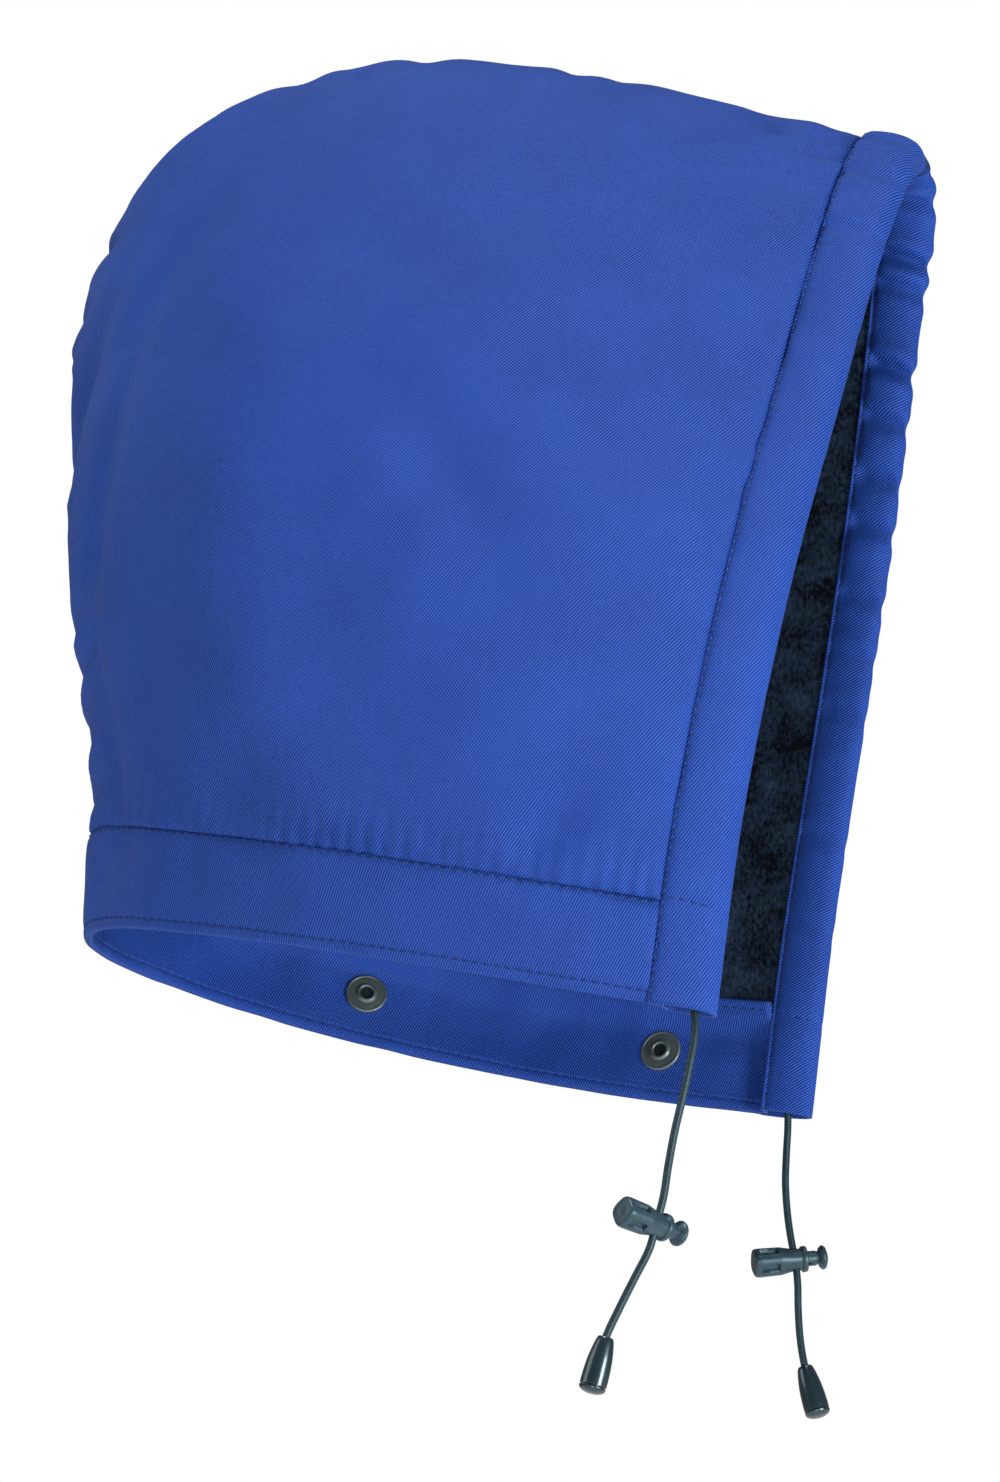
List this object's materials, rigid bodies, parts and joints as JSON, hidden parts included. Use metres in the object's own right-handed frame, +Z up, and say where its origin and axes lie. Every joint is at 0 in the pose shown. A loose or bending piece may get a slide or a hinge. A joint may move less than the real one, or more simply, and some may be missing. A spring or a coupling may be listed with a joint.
{
  "type": "detachable hood",
  "caption": "Padded detachable work hood with pile lining, drawcord casing round the face, neck band with press studs, and drawcord ends with cord locks and bells.",
  "frame": {"origin": "the inside of the crown on the centre plane, over the middle of the head, where the wearer's head holds the hood up", "axes": "+Z up, the face opening looks towards -Y, the wearer's right side is at -X and the left side at +X"},
  "size_m": [0.2218, 0.3096, 0.5007],
  "materials": {
    "twill": "royal blue twill, fine diagonal rib, slight sheen",
    "pile": "short dark navy pile, mottled",
    "gunmetal": "dark gunmetal, satin, bright worn bevels",
    "cord": "braided black elastic cord",
    "lock_plastic": "matt dark grey moulded plastic",
    "bell_plastic": "glossy black moulded plastic"
  },
  "bodies": {
    "hood": {"right_panel": "twill", "left_panel": "twill", "right_lining": "pile", "left_lining": "pile", "face_casing": "twill", "neck_band": "twill", "press_stud_right_front": "gunmetal", "press_stud_right_back": "gunmetal", "press_stud_left_front": "gunmetal", "press_stud_left_back": "gunmetal", "drawcord_right": "cord", "cord_lock_barrel_right": "lock_plastic", "cord_end_bell_right": "bell_plastic", "cord_end_plug_right": "bell_plastic", "drawcord_left": "cord", "cord_lock_barrel_left": "lock_plastic", "cord_end_bell_left": "bell_plastic", "cord_end_plug_left": "bell_plastic"},
    "right_lock_button": {"cord_lock_button_right": "lock_plastic"},
    "left_lock_button": {"cord_lock_button_left": "lock_plastic"}
  },
  "joints": [
    {"name": "right_lock_press", "type": "slide", "parent": "hood", "child": "right_lock_button", "axis": [-0.8192, 0.5506, 0.1606], "range_m": [0, 0.003], "stiffness_N_per_m": 1500, "springref_m": -0.002},
    {"name": "left_lock_press", "type": "slide", "parent": "hood", "child": "left_lock_button", "axis": [-0.4067, 0.9058, -0.1189], "range_m": [0, 0.003], "stiffness_N_per_m": 1500, "springref_m": -0.002}
  ]
}
